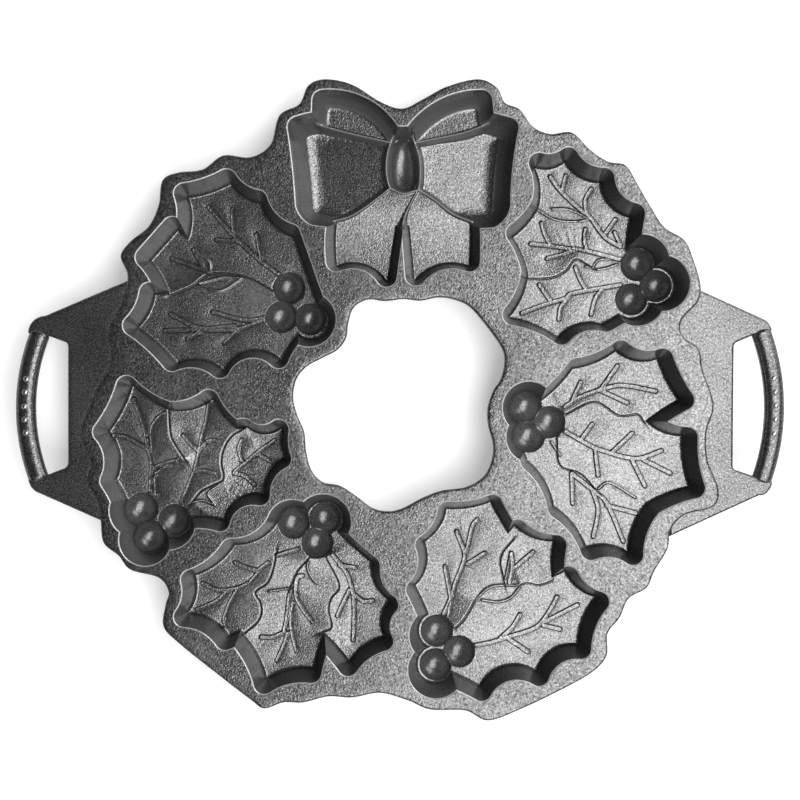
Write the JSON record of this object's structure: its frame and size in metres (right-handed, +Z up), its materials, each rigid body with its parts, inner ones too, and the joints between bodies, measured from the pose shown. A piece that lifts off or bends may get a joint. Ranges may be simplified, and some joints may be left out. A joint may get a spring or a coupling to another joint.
{
  "type": "cast iron wreath pan",
  "caption": "Seasoned cast iron baking pan: a wavy-edged ring of holly-leaf cups and a bow cup round an open middle, with a loop handle at each side.",
  "frame": {"origin": "middle of the pan's outline, on the table that it stands on", "axes": "+X from the left handle to the right one as pictured, +Y towards the bow, +Z up, with the cups open upwards"},
  "size_m": [0.386, 0.3212, 0.03],
  "materials": {
    "deck_iron": "seasoned, sand-cast, satin",
    "mould_iron": "seasoned, sand-cast, satin",
    "handle_iron": "seasoned, sand-cast, satin"
  },
  "bodies": {
    "root": {"wreath_deck": "deck_iron", "bow_mould": "mould_iron", "holly_mould_upper_left": "mould_iron", "holly_mould_left": "mould_iron", "holly_mould_lower_left": "mould_iron", "holly_mould_lower_right": "mould_iron", "holly_mould_right": "mould_iron", "holly_mould_upper_right": "mould_iron", "handle_bracket_left": "handle_iron", "handle_bracket_right": "handle_iron", "handle_grip_left": "handle_iron", "handle_grip_right": "handle_iron"}
  },
  "joints": []
}
